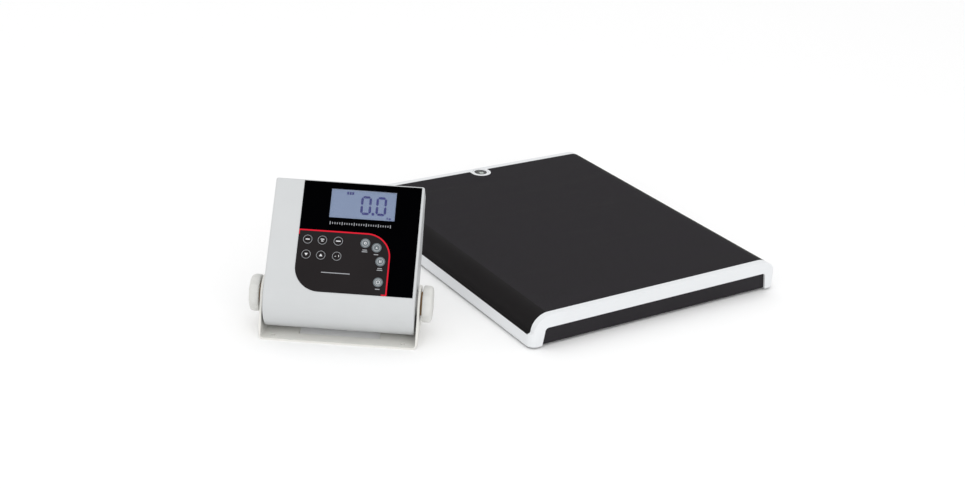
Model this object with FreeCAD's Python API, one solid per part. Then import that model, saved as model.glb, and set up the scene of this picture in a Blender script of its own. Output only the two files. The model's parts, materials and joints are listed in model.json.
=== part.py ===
"""Low platform weighing scale with a separate tilting indicator on a U-bracket.

Three frames are used, all in millimetres:
  platform frame   origin on the floor under the platform's centre, +Y towards the bubble level
  bracket frame    origin on the floor at the middle of the bracket's front edge, +Y towards its back
  housing frame    origin on the tilt axis, +X right, +Y up the face, +Z out of the face
Every piece is built in its own group's frame and then placed in the frame of the whole scale,
whose origin is on the floor under the centre of everything.
"""
import FreeCAD, Part
import math
import os

from FreeCAD import Placement, Rotation, Vector

# ---- driving dimensions: platform ----
PLATFORM_HALF_X = 190.0
PLATFORM_HALF_Y = 215.0
PLATFORM_TOP = 42.0
SKIRT_BOTTOM = 3.0
PLAN_CORNER_R = 10.0
END_RIM = 8.5
COVER_WALL = 2.5
MAT_THICKNESS = 2.5
MAT_END_GAP = 0.2
SHOULDER_START_X = 163.0
SHOULDER_RUN = 23.0
SHOULDER_DROP = 21.5
FLARE_R = 3.0
FLARE_TOP = 22.0
LIP_TOP = 19.0
LIP_UNDER_MAT = 17.8
END_OPENING_TOP = 25.5
END_OPENING_HALF_TOP = 170.0
END_OPENING_HALF_BOTTOM = 174.0
END_OPENING_CORNER_R = 4.5
LEVEL_LAND_R = 14.5
LEVEL_FROM_END = 14.5
LEVEL_POCKET_R = 11.5
LEVEL_POCKET_FLOOR = 34.5
DECK_TOP = 32.5
DECK_THICKNESS = 3.0
DECK_HALF_X = 165.0
DECK_HALF_Y = 205.0
DECK_FLANGE_BOTTOM = 19.0
RIB_THICKNESS = 2.0
RIB_PITCH = 60.0
PANEL_THICKNESS = 2.0
PANEL_HALF_X = 177.5
PANEL_CORNER_R = 8.0
PANEL_BOTTOM = 3.6
PANEL_FLANGE = 30.0
DECK_SCREW_INSET = 22.0
PANEL_FLANGE_HALF_X = 120.0
CELL_X = 148.0
CELL_WIDTH = 25.0
CELL_Y0 = 122.0
CELL_Y1 = 203.0
CELL_BOTTOM = 13.0
CELL_TOP = 25.5
CELL_SCREW_YS = (129.0, 143.0)
CELL_SCREW_R = 3.0
CELL_WINDOW_YS = (159.0, 171.0)
CELL_WINDOW_R = 4.4
CELL_SPACER_LENGTH = 28.0
BOARD_DROP = 6.0
BOARD_THICKNESS = 1.6
FOOT_Y = 190.0
FOOT_PAD_R = 17.0
FOOT_PAD_HEIGHT = 7.0
FOOT_STUD_R = 4.0
FOOT_FLANGE_R = 7.0
FOOT_TRAVEL = 7.5
FOOT_THREAD_HELD = 4.0
FOOT_COLLAR_R = 7.5
FOOT_COLLAR_HEIGHT = 4.2
GLAND_X = -60.0
GLAND_Z = 15.0
GLAND_BORE_R = 2.7
GLAND_DOME_LENGTH = 5.5
PANEL_GAP = 0.2
SCREW_CLEARANCE = 0.05
EAR_HOLE_CLEARANCE = 0.08

# ---- driving dimensions: indicator ----
BRACKET_PLACE = Vector(-382.8, -101.4, 0.0)
BRACKET_YAW = -34.9
BRACKET_STEEL = 2.5
BRACKET_HALF_WIDTH = 92.2
BRACKET_DEPTH = 98.0
BRACKET_CORNER_R = 6.0
BRACKET_BEND_R = 5.0
BRACKET_STRIP = 16.7
BRACKET_OPENING_HALF = 47.0
EAR_BASE_DEPTH = 70.5
BRACKET_TAIL_HALF_WIDTH = 85.2
EAR_TOP_R = 21.6
BRACKET_HOLE_R = 2.75
BRACKET_HOLE_HALF_SPACING = 75.5
BRACKET_HOLE_FROM_EDGE = 8.5
PIVOT_Y = 37.7
PIVOT_Z = 41.5
TILT = 42.0
HOUSING_HALF_WIDTH = 87.2
LOBE_R = 37.05
FACE_Z = 36.55
FACE_LENGTH = 137.2
TOP_THICKNESS = 29.4
HOUSING_WALL = 2.5
HOUSING_FILLET = 2.5
REAR_SHELL_DEPTH = 7.0
OVERLAY_THICKNESS = 0.4
OVERLAY_LEFT = -53.4
OVERLAY_RIGHT = 84.3
OVERLAY_BOTTOM = 1.7
OVERLAY_CORNER_R = 29.4
WINDOW_X = (-20.6, 55.4)
WINDOW_Y = (92.1, 127.4)
KEY_R = 5.6
KEY_TRAVEL = 0.5
KEY_STEM_R = 2.0
KEY_GAP = 0.15
KNOB_R = 21.6
KNOB_LENGTH = 12.05
KNOB_STUD_R = 3.0
KNOB_BORE_DEPTH = 9.0
WASHER_R = 14.0
WASHER_THICKNESS = 2.0
AXIAL_GAP = 0.2
INSERT_R = 6.0
INSERT_DEPTH = 13.0
DOOR_HALF_WIDTH = 79.0
DOOR_UP = (1.0, 33.0)
DOOR_GAP = 0.3
CELL_ROWS = (9.6, 24.4)
CELL_OUT = 24.5
AA_R = 7.2
AA_LENGTH = 50.0

# key name: (x, distance up the face from the crease)
KEYS = {
    "ring_key_1": (-42.3, 63.5),
    "ring_key_2": (-25.3, 63.5),
    "ring_key_3": (-6.9, 63.5),
    "down_key": (-42.3, 45.3),
    "up_key": (-25.3, 45.3),
    "enter_key": (-6.9, 45.3),
    "disc_key_1": (24.5, 63.3),
    "disc_key_2": (38.0, 58.7),
    "disc_key_3": (43.7, 42.4),
    "power_key": (43.3, 17.6),
}

# ---- worked out from the driving dimensions ----
CREASE_Y = -math.sqrt(LOBE_R**2 - FACE_Z**2)
HOUSING_TOP = CREASE_Y + FACE_LENGTH
LEVEL_Y = PLATFORM_HALF_Y - LEVEL_FROM_END
TOP_BACK = (HOUSING_TOP, FACE_Z - TOP_THICKNESS)
# direction of the back wall's outward normal, where the back leaves the lobe tangentially
BACK_ANGLE = math.atan2(TOP_BACK[1], TOP_BACK[0]) - math.acos(LOBE_R / math.hypot(*TOP_BACK))
BACK_OUT = Vector(0, math.cos(BACK_ANGLE), math.sin(BACK_ANGLE))
BACK_UP = Vector(0, -math.sin(BACK_ANGLE), math.cos(BACK_ANGLE))
EAR_INNER = BRACKET_HALF_WIDTH - BRACKET_STEEL
KNOB_INNER = BRACKET_HALF_WIDTH + WASHER_THICKNESS + 2 * AXIAL_GAP
PANEL_FACE_Y = PLATFORM_HALF_Y - COVER_WALL - PANEL_GAP
PARTING = LOBE_R - REAR_SHELL_DEPTH
KEY_STEM_END = FACE_Z - 3.3
SWITCH_TOP = KEY_STEM_END - KEY_TRAVEL - 0.2
KEY_BOARD_FRONT = SWITCH_TOP - 4.0
SIDES = {"left": -1, "right": 1}
CORNERS = {"front_left": (-1, -1), "front_right": (1, -1), "rear_left": (-1, 1), "rear_right": (1, 1)}

BRACKET_FRAME = Placement(BRACKET_PLACE, Rotation(Vector(0, 0, 1), BRACKET_YAW))
HOUSING_FRAME = BRACKET_FRAME.multiply(
    Placement(Vector(0, PIVOT_Y, PIVOT_Z), Rotation(Vector(1, 0, 0), 90.0 - TILT))
)
# the back wall's own frame: +Z out of the back, +Y up it
BACK_FRAME = Placement(Vector(0, 0, 0), Rotation(Vector(-1, 0, 0), BACK_UP, BACK_OUT, "ZXY"))


# ---- small building blocks ----
def block(x0, x1, y0, y1, z0, z1):
    """A box between two opposite corners."""
    return Part.makeBox(x1 - x0, y1 - y0, z1 - z0, Vector(x0, y0, z0))


def rod(radius, start, end):
    """A round bar from one point to another."""
    along = end - start
    return Part.makeCylinder(radius, along.Length, start, along)


def ring(outer, inner, start, end):
    """A round bar with a hole along its axis."""
    return rod(outer, start, end).cut(rod(inner, start, end))


def fused(shapes):
    """One clean solid from shapes that touch or overlap."""
    whole = shapes[0]
    if len(shapes) > 1:
        whole = whole.multiFuse(shapes[1:])
    return whole.removeSplitter()


def cut_by(shape, tools):
    """A shape with several tools taken out of it."""
    return shape.cut(Part.makeCompound(tools)).removeSplitter()


def line(x0, z0, x1, z1):
    """A straight edge in the XZ plane."""
    return Part.makeLine(Vector(x0, 0, z0), Vector(x1, 0, z1))


def extruded(points, along):
    """A prism on a closed polygon."""
    wire = Part.makePolygon(list(points) + [points[0]])
    return Part.Face(wire).extrude(along)


def hexagon_bar(corner_radius, start, end):
    """A six-sided bar along Y or Z."""
    along = end - start
    upright = abs(along.y) < 0.001
    corners = []
    for n in range(6):
        a = math.radians(60 * n)
        if upright:
            across = Vector(math.cos(a), math.sin(a), 0)
        else:
            across = Vector(math.cos(a), 0, math.sin(a))
        corners.append(start + across * corner_radius)
    return extruded(corners, along)


def rounded_plan(half_x, half_y, radius, z0, z1):
    """An upright block with rounded corners in plan."""
    solid = block(-half_x, half_x, -half_y, half_y, z0, z1)
    upright = [e for e in solid.Edges if abs(e.tangentAt(e.FirstParameter).z) > 0.99]
    return solid.makeFillet(radius, upright)


# ---- platform ----
def shoulder(inset, lowest):
    """The rolled side's ellipse from the flat top down to a height, offset inwards by inset."""
    centre = Vector(SHOULDER_START_X, 0, PLATFORM_TOP - SHOULDER_DROP)
    run = SHOULDER_RUN - inset
    drop = SHOULDER_DROP - inset
    ellipse = Part.Ellipse(centre + Vector(run, 0, 0), centre + Vector(0, 0, drop), centre)
    start = math.asin((lowest - centre.z) / drop)
    return Part.ArcOfEllipse(ellipse, start, math.pi / 2).toShape()


def symmetric_section(half_edges):
    """A face in the XZ plane from the edges of its +X half, which start and end at x = 0."""
    mirrored = [e.mirror(Vector(0, 0, 0), Vector(1, 0, 0)) for e in half_edges]
    return Part.Face(Part.Wire(Part.__sortEdges__(half_edges + mirrored)))


def outer_section():
    """The platform's full outline: flat top, rolled shoulder, flare and lip."""
    curve = shoulder(0.0, FLARE_TOP)
    foot = curve.valueAt(curve.FirstParameter)
    flare_end = Vector(foot.x + FLARE_R, 0, LIP_TOP)
    middle = Vector(foot.x + FLARE_R * (1 - math.sqrt(0.5)), 0, FLARE_TOP - FLARE_R * math.sqrt(0.5))
    flare = Part.Arc(foot, middle, flare_end).toShape()
    return symmetric_section(
        [
            line(0, PLATFORM_TOP, SHOULDER_START_X, PLATFORM_TOP),
            curve,
            flare,
            line(flare_end.x, LIP_TOP, PLATFORM_HALF_X, LIP_TOP),
            line(PLATFORM_HALF_X, LIP_TOP, PLATFORM_HALF_X, SKIRT_BOTTOM),
            line(PLATFORM_HALF_X, SKIRT_BOTTOM, 0, SKIRT_BOTTOM),
        ]
    )


def bed_section():
    """The cover's outline where the mat lies on it."""
    curve = shoulder(MAT_THICKNESS, PLATFORM_TOP - SHOULDER_DROP)
    side = SHOULDER_START_X + SHOULDER_RUN - MAT_THICKNESS
    bed_top = PLATFORM_TOP - MAT_THICKNESS
    return symmetric_section(
        [
            line(0, bed_top, SHOULDER_START_X, bed_top),
            curve,
            line(side, PLATFORM_TOP - SHOULDER_DROP, side, LIP_UNDER_MAT),
            line(side, LIP_UNDER_MAT, PLATFORM_HALF_X, LIP_UNDER_MAT),
            line(PLATFORM_HALF_X, LIP_UNDER_MAT, PLATFORM_HALF_X, SKIRT_BOTTOM),
            line(PLATFORM_HALF_X, SKIRT_BOTTOM, 0, SKIRT_BOTTOM),
        ]
    )


def cavity_section():
    """The hollow under the cover."""
    inset = MAT_THICKNESS + COVER_WALL
    curve = shoulder(inset, PLATFORM_TOP - SHOULDER_DROP)
    side = SHOULDER_START_X + SHOULDER_RUN - inset
    skirt = PLATFORM_HALF_X - COVER_WALL
    step = LIP_UNDER_MAT - COVER_WALL
    ceiling = PLATFORM_TOP - inset
    return symmetric_section(
        [
            line(0, ceiling, SHOULDER_START_X, ceiling),
            curve,
            line(side, PLATFORM_TOP - SHOULDER_DROP, side, step),
            line(side, step, skirt, step),
            line(skirt, step, skirt, 0),
            line(skirt, 0, 0, 0),
        ]
    )


def along_y(section, y0, y1):
    """A section in the XZ plane, extruded along Y."""
    placed = section.copy()
    placed.translate(Vector(0, y0, 0))
    return placed.extrude(Vector(0, y1 - y0, 0))


def level_notch(radius, z0, z1):
    """The U-shaped land of the bubble level, open towards the rear edge."""
    centre = Vector(0, LEVEL_Y, z0)
    round_end = Part.makeCylinder(radius, z1 - z0, centre)
    mouth = block(-radius, radius, LEVEL_Y, PLATFORM_HALF_Y - END_RIM + 1, z0, z1)
    return fused([round_end, mouth])


def cover_ribs():
    """The grid of ribs under the cover, which stands on the deck plate."""
    ceiling = PLATFORM_TOP - MAT_THICKNESS - COVER_WALL
    half = RIB_THICKNESS / 2
    ribs = []
    for n in range(-2, 3):
        x = n * RIB_PITCH
        ribs.append(block(x - half, x + half, -DECK_HALF_Y + 15, DECK_HALF_Y - 35, DECK_TOP, ceiling + 1))
    for n in range(-3, 3):
        y = (n + 0.5) * RIB_PITCH
        ribs.append(block(-SHOULDER_START_X, SHOULDER_START_X, y - half, y + half, DECK_TOP, ceiling + 1))
    return ribs


def end_opening(side):
    """The opening in an end frame that shows the dark end panel. It flares towards the floor."""
    reach = END_RIM + 1
    inner = side * (PLATFORM_HALF_Y - reach)
    corners = [
        Vector(-END_OPENING_HALF_BOTTOM, inner, 0),
        Vector(-END_OPENING_HALF_TOP, inner, END_OPENING_TOP),
        Vector(END_OPENING_HALF_TOP, inner, END_OPENING_TOP),
        Vector(END_OPENING_HALF_BOTTOM, inner, 0),
    ]
    opening = extruded(corners, Vector(0, side * (reach + 1), 0))
    upper = [
        e
        for e in opening.Edges
        if abs(e.CenterOfMass.z - END_OPENING_TOP) < 0.01 and abs(e.CenterOfMass.x) > END_OPENING_HALF_TOP - 1
    ]
    return opening.makeFillet(END_OPENING_CORNER_R, upper)


def top_cover():
    rim_y = PLATFORM_HALF_Y - END_RIM
    wall_y = PLATFORM_HALF_Y - COVER_WALL
    shell = fused(
        [
            along_y(outer_section(), -PLATFORM_HALF_Y, -rim_y),
            along_y(bed_section(), -rim_y, rim_y),
            along_y(outer_section(), rim_y, PLATFORM_HALF_Y),
            level_notch(LEVEL_LAND_R, PLATFORM_TOP - 4, PLATFORM_TOP),
        ]
    )
    plan = rounded_plan(PLATFORM_HALF_X, PLATFORM_HALF_Y, PLAN_CORNER_R, 0, PLATFORM_TOP)
    shell = shell.common(plan)
    inner_x = PLATFORM_HALF_X - COVER_WALL
    inner_plan = rounded_plan(inner_x, wall_y, PLAN_CORNER_R - COVER_WALL, 0, PLATFORM_TOP)
    shell = shell.cut(along_y(cavity_section(), -wall_y, wall_y).common(inner_plan))
    pocket_base = Vector(0, LEVEL_Y, LEVEL_POCKET_FLOOR)
    boss = Part.makeCylinder(LEVEL_LAND_R - 1, 4, pocket_base - Vector(0, 0, 1.5))
    shell = fused([shell, boss] + cover_ribs())
    pocket = Part.makeCylinder(LEVEL_POCKET_R, 20, pocket_base)
    return cut_by(shell, [pocket, end_opening(-1), end_opening(1)])


def platform_mat():
    mat_y = PLATFORM_HALF_Y - END_RIM - MAT_END_GAP
    mat = along_y(outer_section(), -mat_y, mat_y).cut(along_y(bed_section(), -mat_y - 1, mat_y + 1))
    notch = level_notch(LEVEL_LAND_R + MAT_END_GAP, PLATFORM_TOP - 10, PLATFORM_TOP + 1)
    return cut_by(mat, [notch])


def level_vial():
    """The clear round vial with the hollow that its fluid fills."""
    base = Vector(0, LEVEL_Y, LEVEL_POCKET_FLOOR)
    body = Part.makeCylinder(LEVEL_POCKET_R - 0.2, 6.8, base)
    return body.cut(Part.makeCylinder(8.0, 4.0, base + Vector(0, 0, 1.5)))


def level_fluid():
    return Part.makeCylinder(8.0, 4.0, Vector(0, LEVEL_Y, LEVEL_POCKET_FLOOR + 1.5))


def cell_screw_places():
    """Where each load cell is screwed to the deck, in plan."""
    return [Vector(sx * CELL_X, sy * y, 0) for sx, sy in CORNERS.values() for y in CELL_SCREW_YS]


def deck_screw_places():
    """Where the end panels' flanges are screwed to the deck, in plan."""
    y = PLATFORM_HALF_Y - DECK_SCREW_INSET
    return [Vector(x, side * y, 0) for side in (-1, 1) for x in (-90.0, 0.0, 90.0)]


def deck_plate():
    bottom = DECK_TOP - DECK_THICKNESS
    plate = block(-DECK_HALF_X, DECK_HALF_X, -DECK_HALF_Y, DECK_HALF_Y, bottom, DECK_TOP)
    flanges = []
    for side in (-1, 1):
        x0, x1 = sorted((side * (DECK_HALF_X - DECK_THICKNESS), side * DECK_HALF_X))
        flanges.append(block(x0, x1, -DECK_HALF_Y, DECK_HALF_Y, DECK_FLANGE_BOTTOM, bottom))
    holes = [rod(CELL_SCREW_R + SCREW_CLEARANCE, p, p + Vector(0, 0, 60)) for p in cell_screw_places()]
    holes += [rod(2 + SCREW_CLEARANCE, p, p + Vector(0, 0, 60)) for p in deck_screw_places()]
    return cut_by(fused([plate] + flanges), holes)


def end_panel(side):
    """The dark steel angle that closes an end: an upright face and a flange under the deck."""
    face = PANEL_FACE_Y
    flange_top = DECK_TOP - DECK_THICKNESS
    upright = block(-PANEL_HALF_X, PANEL_HALF_X, face - PANEL_THICKNESS, face, PANEL_BOTTOM, flange_top)
    lower = [
        e
        for e in upright.Edges
        if abs(e.CenterOfMass.z - PANEL_BOTTOM) < 0.01 and abs(e.CenterOfMass.x) > PANEL_HALF_X - 1
    ]
    upright = upright.makeFillet(PANEL_CORNER_R, lower)
    half = PANEL_FLANGE_HALF_X
    flange = block(-half, half, face - PANEL_FLANGE, face, flange_top - PANEL_THICKNESS, flange_top)
    panel = fused([upright, flange])
    if side < 0:
        panel = panel.mirror(Vector(0, 0, 0), Vector(0, 1, 0))
    holes = [rod(2 + SCREW_CLEARANCE, p, p + Vector(0, 0, 60)) for p in deck_screw_places()]
    if side > 0:
        holes.append(rod(6, Vector(GLAND_X, face - 10, GLAND_Z), Vector(GLAND_X, face + 10, GLAND_Z)))
    return cut_by(panel, holes)


def deck_screws():
    """Button-head screws that hold the end panels' flanges under the deck."""
    flange_bottom = DECK_TOP - DECK_THICKNESS - PANEL_THICKNESS
    screws = []
    for place in deck_screw_places():
        at = place + Vector(0, 0, flange_bottom)
        screws.append(fused([rod(3.6, at - Vector(0, 0, 2.2), at), rod(2, at, at + Vector(0, 0, 5))]))
    return Part.makeCompound(screws)


def load_cell(sx, sy):
    """A bending-beam cell: a bar with two joined round windows across its middle."""
    half = CELL_WIDTH / 2
    y0, y1 = sorted((sy * CELL_Y0, sy * CELL_Y1))
    bar = block(sx * CELL_X - half, sx * CELL_X + half, y0, y1, CELL_BOTTOM, CELL_TOP)
    middle = (CELL_BOTTOM + CELL_TOP) / 2
    tools = []
    for y in CELL_WINDOW_YS:
        start = Vector(sx * CELL_X - half - 1, sy * y, middle)
        tools.append(rod(CELL_WINDOW_R, start, start + Vector(CELL_WIDTH + 2, 0, 0)))
    s0, s1 = sorted(sy * y for y in CELL_WINDOW_YS)
    tools.append(block(sx * CELL_X - half - 1, sx * CELL_X + half + 1, s0, s1, middle - 1.5, middle + 1.5))
    foot = Vector(sx * CELL_X, sy * FOOT_Y, 0)
    tools.append(rod(FOOT_STUD_R + SCREW_CLEARANCE, foot, foot + Vector(0, 0, 60)))
    for y in CELL_SCREW_YS:
        at = Vector(sx * CELL_X, sy * y, 0)
        tools.append(rod(CELL_SCREW_R + SCREW_CLEARANCE, at, at + Vector(0, 0, 60)))
    return cut_by(bar, tools)


def load_cell_spacers():
    """Steel blocks that keep each cell's free end clear of the deck."""
    blocks = []
    for sx, sy in CORNERS.values():
        y0, y1 = sorted((sy * CELL_Y0, sy * (CELL_Y0 + CELL_SPACER_LENGTH)))
        half = CELL_WIDTH / 2
        spacer = block(sx * CELL_X - half, sx * CELL_X + half, y0, y1, CELL_TOP, DECK_TOP - DECK_THICKNESS)
        holes = [Vector(sx * CELL_X, sy * y, 0) for y in CELL_SCREW_YS]
        blocks.append(
            cut_by(spacer, [rod(CELL_SCREW_R + SCREW_CLEARANCE, p, p + Vector(0, 0, 60)) for p in holes])
        )
    return Part.makeCompound(blocks)


def load_cell_screws():
    """Socket-head screws, driven from below through cell and spacer into the deck."""
    screws = []
    for place in cell_screw_places():
        at = place + Vector(0, 0, CELL_BOTTOM)
        head = rod(5, at - Vector(0, 0, 6), at).cut(
            Part.makeCylinder(2.5, 3, at - Vector(0, 0, 6))
        )
        screws.append(fused([head, rod(CELL_SCREW_R, at, Vector(at.x, at.y, DECK_TOP))]))
    return Part.makeCompound(screws)


def junction_board():
    """The board that sums the four cells, on four pillars under the deck."""
    top = DECK_TOP - DECK_THICKNESS
    board_top = top - BOARD_DROP
    board = block(-50, 50, -30, 30, board_top - BOARD_THICKNESS, board_top)
    pillars = [rod(3, Vector(x, y, board_top), Vector(x, y, top)) for x in (-44, 44) for y in (-24, 24)]
    return fused([board] + pillars)


def terminal_blocks():
    """Five screw-terminal blocks under the junction board, one per cell and one for the lead."""
    board_bottom = DECK_TOP - DECK_THICKNESS - BOARD_DROP - BOARD_THICKNESS
    blocks = []
    for x, y in ((-30, -18), (30, -18), (-30, 18), (30, 18), (0, 18)):
        body = block(x - 10, x + 10, y - 4, y + 4, board_bottom - 9, board_bottom)
        ports = [
            rod(1.4, Vector(x + dx, y, board_bottom - 10), Vector(x + dx, y, board_bottom - 6))
            for dx in (-7.5, -2.5, 2.5, 7.5)
        ]
        blocks.append(cut_by(body, ports))
    return Part.makeCompound(blocks)


def cable_gland():
    """The gland in the rear panel that the platform's lead leaves through."""

    def at(y):
        return Vector(GLAND_X, y, GLAND_Z)

    panel_back = PANEL_FACE_Y - PANEL_THICKNESS
    dome = rod(7.5, at(PANEL_FACE_Y), at(PANEL_FACE_Y + GLAND_DOME_LENGTH))
    barrel = rod(6, at(PANEL_FACE_Y - 8), at(PANEL_FACE_Y))
    nut = hexagon_bar(9, at(panel_back - 4), at(panel_back))
    bore = rod(GLAND_BORE_R, at(PANEL_FACE_Y - 9), at(PANEL_FACE_Y + 6))
    return cut_by(fused([dome, barrel, nut]), [bore])


def foot_pad(sx, sy):
    """A rubber pad with a pocket in which the stud's flange turns."""
    at = Vector(sx * CELL_X, sy * FOOT_Y, 0)
    pad = Part.makeCylinder(FOOT_PAD_R, FOOT_PAD_HEIGHT, at)
    pad = pad.makeChamfer(1.2, [e for e in pad.Edges if e.Closed])
    return pad.cut(Part.makeCylinder(FOOT_FLANGE_R + SCREW_CLEARANCE, 10, at + Vector(0, 0, 3)))


def foot_stud(sx, sy):
    """A threaded stud with a flange below and a hexagon collar for a spanner."""
    at = Vector(sx * CELL_X, sy * FOOT_Y, 0)

    def up(z):
        return at + Vector(0, 0, z)

    collar_bottom = FOOT_PAD_HEIGHT + 0.3
    collar_top = collar_bottom + FOOT_COLLAR_HEIGHT
    flange = rod(FOOT_FLANGE_R, up(3.1), up(collar_bottom))
    collar = hexagon_bar(FOOT_COLLAR_R, up(collar_bottom), up(collar_top))
    shaft = rod(FOOT_STUD_R, up(collar_top), up(CELL_BOTTOM + FOOT_TRAVEL + FOOT_THREAD_HELD))
    return fused([flange, collar, shaft])


# ---- bracket ----
def ear_outline(x):
    """One ear's outline: a wide foot that narrows to a round top about the tilt axis."""
    top = Vector(x, PIVOT_Y, PIVOT_Z)
    front = Vector(x, 0, 0)
    back = Vector(x, EAR_BASE_DEPTH, 0)
    touches = []
    for corner, turn in ((front, -1), (back, 1)):
        to_corner = corner - top
        spread = math.acos(EAR_TOP_R / to_corner.Length)
        direction = math.atan2(to_corner.z, to_corner.y) + turn * spread
        touches.append(top + Vector(0, math.cos(direction), math.sin(direction)) * EAR_TOP_R)
    crown = Part.Arc(touches[0], top + Vector(0, 0, EAR_TOP_R), touches[1]).toShape()
    edges = [Part.makeLine(front, touches[0]), crown, Part.makeLine(touches[1], back)]
    edges.append(Part.makeLine(back, front))
    return Part.Face(Part.Wire(edges))


def folded_strip():
    """The bracket's plate, folded up at both sides, before its ears are trimmed."""
    height = PIVOT_Z + EAR_TOP_R + 1
    outer = BRACKET_HALF_WIDTH
    strip = block(-outer, outer, 0, BRACKET_DEPTH, 0, height)
    corners = [e for e in strip.Edges if abs(e.CenterOfMass.z) < 0.01 and abs(e.CenterOfMass.x) > 1]
    strip = strip.makeFillet(BRACKET_BEND_R, corners)
    hollow = block(-EAR_INNER, EAR_INNER, -1, BRACKET_DEPTH + 1, BRACKET_STEEL, height + 1)
    corners = [
        e
        for e in hollow.Edges
        if abs(e.CenterOfMass.z - BRACKET_STEEL) < 0.01 and abs(e.CenterOfMass.x) > 1
    ]
    return strip.cut(hollow.makeFillet(BRACKET_BEND_R - BRACKET_STEEL, corners))


def bracket():
    """One folded steel plate: a base with a window and four holes, and an ear at each side."""
    outer = BRACKET_HALF_WIDTH
    ears = ear_outline(-outer).extrude(Vector(2 * outer, 0, 0))
    base = block(-outer, outer, 0, BRACKET_DEPTH, 0, BRACKET_STEEL)
    plan = block(-outer, outer, 0, BRACKET_DEPTH, -1, PIVOT_Z + EAR_TOP_R + 2)
    front = [
        e
        for e in plan.Edges
        if abs(e.CenterOfMass.y) < 0.01 and abs(e.tangentAt(e.FirstParameter).z) > 0.99
    ]
    folded = folded_strip().common(fused([ears, base])).common(plan.makeFillet(BRACKET_CORNER_R, front))
    half = BRACKET_OPENING_HALF
    back = BRACKET_DEPTH - BRACKET_STRIP
    tail_half = BRACKET_TAIL_HALF_WIDTH
    tools = [
        block(-half, half, BRACKET_STRIP, back, -1, BRACKET_STEEL + 1),
        block(tail_half, outer + 1, EAR_BASE_DEPTH, BRACKET_DEPTH + 1, -1, BRACKET_STEEL + 1),
        block(-outer - 1, -tail_half, EAR_BASE_DEPTH, BRACKET_DEPTH + 1, -1, BRACKET_STEEL + 1),
    ]
    for x in (-BRACKET_HOLE_HALF_SPACING, BRACKET_HOLE_HALF_SPACING):
        for y in (BRACKET_HOLE_FROM_EDGE, BRACKET_DEPTH - BRACKET_HOLE_FROM_EDGE):
            tools.append(Part.makeCylinder(BRACKET_HOLE_R, 10, Vector(x, y, -1)))
    axis = Vector(-outer - 1, PIVOT_Y, PIVOT_Z)
    tools.append(rod(KNOB_STUD_R + EAR_HOLE_CLEARANCE, axis, axis + Vector(2 * outer + 2, 0, 0)))
    return cut_by(folded, tools)


# ---- indicator housing ----
def housing_section(inset):
    """The housing's side view: flat face, square top, sloping back and a round lobe below."""
    radius = LOBE_R - inset
    face = FACE_Z - inset
    top = HOUSING_TOP - inset
    back = BACK_OUT * radius
    back_top_z = (radius - top * BACK_OUT.y) / BACK_OUT.z
    crease = Vector(0, -math.sqrt(radius**2 - face**2), face)
    lobe = Part.Arc(crease, Vector(0, -radius * math.cos(0.4), -radius * math.sin(0.4)), back)
    face_top = Vector(0, top, face)
    back_top = Vector(0, top, back_top_z)
    edges = [
        Part.makeLine(crease, face_top),
        Part.makeLine(face_top, back_top),
        Part.makeLine(back_top, back),
        lobe.toShape(),
    ]
    return Part.Face(Part.Wire(Part.__sortEdges__(edges)))


def housing_block(inset):
    """The housing as a solid, or its hollow when inset is the wall."""
    half = HOUSING_HALF_WIDTH - inset
    section = housing_section(inset)
    section.translate(Vector(-half, 0, 0))
    return section.extrude(Vector(2 * half, 0, 0))


def rounded_housing():
    """The housing's outer solid with its side and top edges rounded."""
    solid = housing_block(0.0)
    edges = []
    for edge in solid.Edges:
        middle = edge.CenterOfMass
        at_side = abs(abs(middle.x) - HOUSING_HALF_WIDTH) < 0.01
        at_top = abs(middle.y - HOUSING_TOP) < 0.01
        if at_side or at_top:
            edges.append(edge)
    return solid.makeFillet(HOUSING_FILLET, edges)


def in_back_frame(shape):
    """A shape drawn on the back wall (x right, y up the back, z outwards), put in the housing frame."""
    placed = shape.copy()
    placed.Placement = BACK_FRAME.multiply(placed.Placement)
    return placed


def rear_half_space():
    """Everything behind the parting plane, which is parallel to the back wall."""
    return in_back_frame(block(-150, 150, -150, 250, PARTING, PARTING + 100))


def shell():
    """The housing as one hollow shell, before it is parted."""
    return rounded_housing().cut(housing_block(HOUSING_WALL))


HOUSING_SHELL = shell()


def face_point(x, up, z=FACE_Z):
    """A point on the face: x from its centre line, and a distance up from the crease."""
    return Vector(x, CREASE_Y + up, z)


def screw_posts():
    """Where the rear shell is screwed to the front one, on the back wall's frame."""
    return [Vector(x, y, 0) for x in (-80.0, 80.0) for y in (44.0, 116.0)]


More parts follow.
